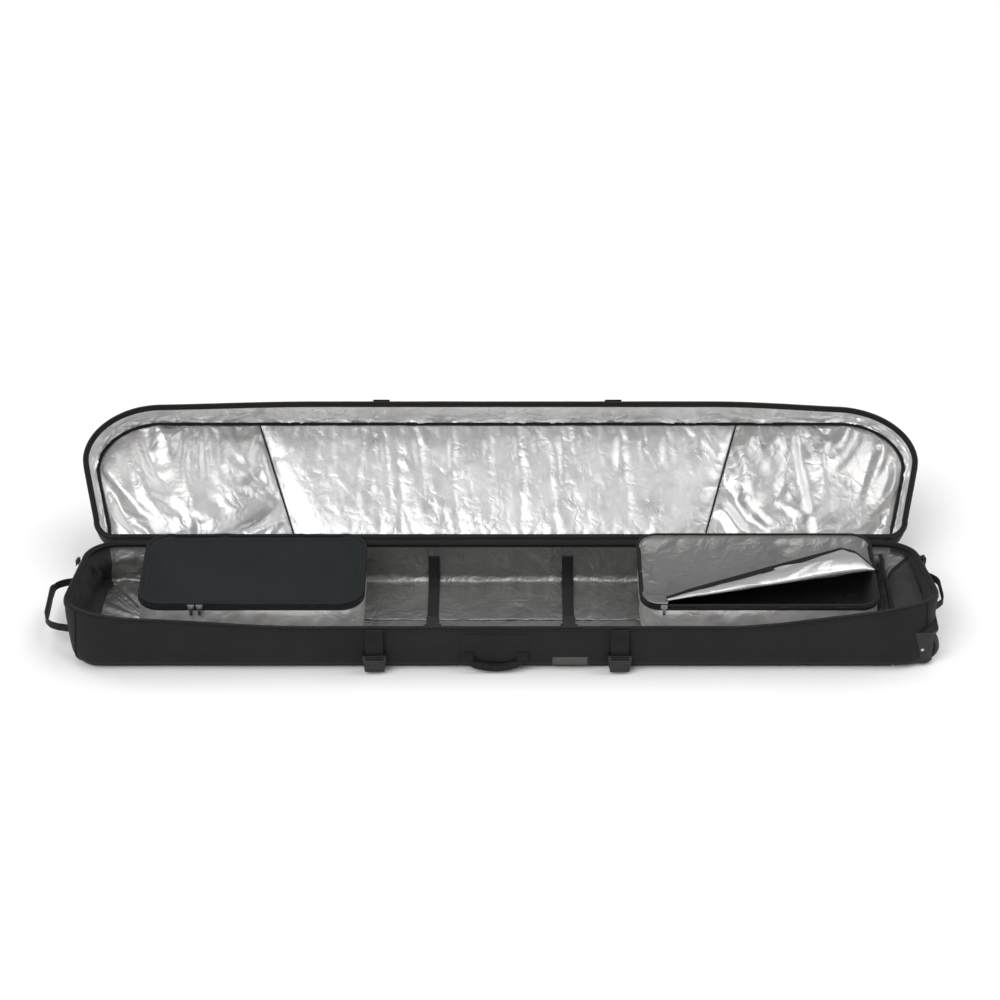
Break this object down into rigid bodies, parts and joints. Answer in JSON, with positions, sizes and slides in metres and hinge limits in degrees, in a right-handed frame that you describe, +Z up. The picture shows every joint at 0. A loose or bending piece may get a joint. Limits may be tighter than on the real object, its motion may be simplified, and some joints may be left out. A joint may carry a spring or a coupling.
{
  "type": "padded wheeled snowboard bag",
  "caption": "Long padded wheeled snowboard and ski bag lying open: black tray and lid with silver lining, zipped pouches inside, straps, carry handles and wheels at one end.",
  "frame": {"origin": "middle of the bag's underside, on the floor", "axes": "+X along the bag to the wheel end, +Y from the front wall to the lid's hinge, +Z up"},
  "size_m": [1.9642, 0.6782, 0.3148],
  "materials": {
    "shell_cloth": "coarse black woven polyester with a faint sheen",
    "foam": "closed-cell foam padding, hidden",
    "silver_lining": "crinkled metallic silver coated cloth",
    "board": "flat plastic stiffener, hidden",
    "zip": "black nylon coil zip",
    "binding": "black woven seam binding",
    "moulded_black": "fine-grained moulded black plastic",
    "patch": "plain grey woven patch",
    "webbing": "black flat woven webbing",
    "steel": "plain zinc-plated steel",
    "tyre": "black soft urethane tread",
    "mesh_cloth": "fine black mesh over dark cloth",
    "slider_metal": "dark nickel-coloured zip slider"
  },
  "bodies": {
    "tray": {"base_outer_shell": "shell_cloth", "base_foam": "foam", "base_lining": "silver_lining", "bottom_panel": "shell_cloth", "floor_stiffener": "board", "base_zip_coil": "zip", "base_rim_binding": "binding", "wheel_well_cover": "silver_lining", "wheel_housing": "moulded_black", "hinge_panel": "shell_cloth", "label_patch": "patch", "haul_handle_panel": "shell_cloth", "end_handle_panel": "shell_cloth", "wheel_end_handle": "webbing", "front_wheel_axle": "steel", "rear_wheel_axle": "steel", "tie_strap_left": "webbing", "tie_strap_right": "webbing", "tie_buckle_frame_left": "moulded_black", "tie_buckle_frame_right": "moulded_black"},
    "lid": {"lid_outer_shell": "shell_cloth", "lid_foam": "foam", "lid_lining": "silver_lining", "lid_zip_coil": "zip", "lid_rim_binding": "binding", "lid_seam_binding": "binding", "lid_strap_left": "webbing", "lid_strap_right": "webbing"},
    "lid_tail_left": {"lid_tail_left_webbing": "webbing", "lid_buckle_left": "moulded_black"},
    "lid_tail_right": {"lid_tail_right_webbing": "webbing", "lid_buckle_right": "moulded_black"},
    "front_strap_left": {"front_strap_left_webbing": "webbing", "front_buckle_left": "moulded_black"},
    "front_strap_right": {"front_strap_right_webbing": "webbing", "front_buckle_right": "moulded_black"},
    "front_wheel": {"front_wheel_tyre": "tyre", "front_wheel_hub": "moulded_black", "front_wheel_bearing_inner": "steel", "front_wheel_bearing_outer": "steel"},
    "rear_wheel": {"rear_wheel_tyre": "tyre", "rear_wheel_hub": "moulded_black", "rear_wheel_bearing_inner": "steel", "rear_wheel_bearing_outer": "steel"},
    "haul_handle": {"haul_handle": "webbing"},
    "end_handle": {"end_handle": "webbing"},
    "zip_slider_handle_end": {"main_zip_slider_handle_end": "slider_metal"},
    "zip_slider_wheel_end": {"main_zip_slider_wheel_end": "slider_metal"},
    "tie_lever_left": {"tie_buckle_lever_left": "moulded_black"},
    "tie_lever_right": {"tie_buckle_lever_right": "moulded_black"},
    "left_pouch": {"left_pouch_body": "silver_lining", "left_pouch_binding": "binding"},
    "left_pouch_lid": {"left_pouch_mesh_lid": "mesh_cloth"},
    "left_pouch_slider_a": {"left_pouch_slider_a": "slider_metal"},
    "left_pouch_slider_b": {"left_pouch_slider_b": "slider_metal"},
    "right_pouch": {"right_pouch_body": "silver_lining", "right_pouch_binding": "binding", "right_pouch_top": "silver_lining"},
    "right_pouch_flap": {"right_pouch_flap": "silver_lining"},
    "right_pouch_slider": {"right_pouch_slider": "slider_metal"}
  },
  "joints": [
    {"name": "lid_hinge", "type": "hinge", "parent": "tray", "child": "lid", "pos_m": [0, 0.1675, 0.116], "axis": [-1, 0, 0], "range_deg": [-143, 36]},
    {"name": "lid_tail_left_swing", "type": "hinge", "parent": "lid", "child": "lid_tail_left", "pos_m": [-0.273, 0.44706, 0.30913], "axis": [-1, 0, 0], "range_deg": [-155, 0]},
    {"name": "lid_tail_right_swing", "type": "hinge", "parent": "lid", "child": "lid_tail_right", "pos_m": [0.257, 0.44706, 0.30913], "axis": [-1, 0, 0], "range_deg": [-155, 0]},
    {"name": "front_strap_left_swing", "type": "hinge", "parent": "tray", "child": "front_strap_left", "pos_m": [-0.273, -0.1742, 0.109], "axis": [-1, 0, 0], "range_deg": [0, 150]},
    {"name": "front_strap_right_swing", "type": "hinge", "parent": "tray", "child": "front_strap_right", "pos_m": [0.257, -0.1742, 0.109], "axis": [-1, 0, 0], "range_deg": [0, 150]},
    {"name": "front_wheel_spin", "type": "hinge", "parent": "tray", "child": "front_wheel", "pos_m": [0.914, -0.125, 0.043], "axis": [0, 1, 0], "continuous": true},
    {"name": "rear_wheel_spin", "type": "hinge", "parent": "tray", "child": "rear_wheel", "pos_m": [0.914, 0.125, 0.043], "axis": [0, 1, 0], "continuous": true},
    {"name": "haul_handle_swing", "type": "hinge", "parent": "tray", "child": "haul_handle", "pos_m": [-0.012, -0.1734, 0.041], "axis": [-1, 0, 0], "range_deg": [0, 110]},
    {"name": "end_handle_fold", "type": "hinge", "parent": "tray", "child": "end_handle", "pos_m": [-0.945, 0, 0.058], "axis": [0, 1, 0], "range_deg": [-50, 50]},
    {"name": "zip_slider_handle_end_run", "type": "slide", "parent": "tray", "child": "zip_slider_handle_end", "axis": [-0.1261, -0.9898, 0.066], "range_m": [0, 0.12]},
    {"name": "zip_slider_wheel_end_run", "type": "slide", "parent": "tray", "child": "zip_slider_wheel_end", "axis": [0.1252, -0.983, 0.1341], "range_m": [0, 0.12]},
    {"name": "tie_lever_left_open", "type": "hinge", "parent": "tray", "child": "tie_lever_left", "pos_m": [-0.15, -0.043, 0.0252], "axis": [1, 0, 0], "range_deg": [0, 95]},
    {"name": "tie_lever_right_open", "type": "hinge", "parent": "tray", "child": "tie_lever_right", "pos_m": [0.15, -0.043, 0.0252], "axis": [1, 0, 0], "range_deg": [0, 95]},
    {"name": "left_pouch_lift", "type": "slide", "parent": "tray", "child": "left_pouch", "axis": [0, 0, 1], "range_m": [0, 0.25]},
    {"name": "left_pouch_lid_open", "type": "hinge", "parent": "left_pouch", "child": "left_pouch_lid", "pos_m": [-0.542, 0.1455, 0.1425], "axis": [-1, 0, 0], "range_deg": [0, 100]},
    {"name": "left_pouch_slider_a_run", "type": "slide", "parent": "left_pouch", "child": "left_pouch_slider_a", "axis": [-1, 0, 0], "range_m": [0, 0.055]},
    {"name": "left_pouch_slider_b_run", "type": "slide", "parent": "left_pouch", "child": "left_pouch_slider_b", "axis": [1, 0, 0], "range_m": [0, 0.28]},
    {"name": "right_pouch_lift", "type": "slide", "parent": "tray", "child": "right_pouch", "axis": [0, 0, 1], "range_m": [0, 0.25]},
    {"name": "right_pouch_flap_fold", "type": "hinge", "parent": "right_pouch", "child": "right_pouch_flap", "pos_m": [0.356, -0.114, 0.148], "axis": [0.9703, 0.242, 0], "range_deg": [0, 172]},
    {"name": "right_pouch_slider_run", "type": "slide", "parent": "right_pouch", "child": "right_pouch_slider", "axis": [1, 0, 0], "range_m": [0, 0.4]}
  ]
}
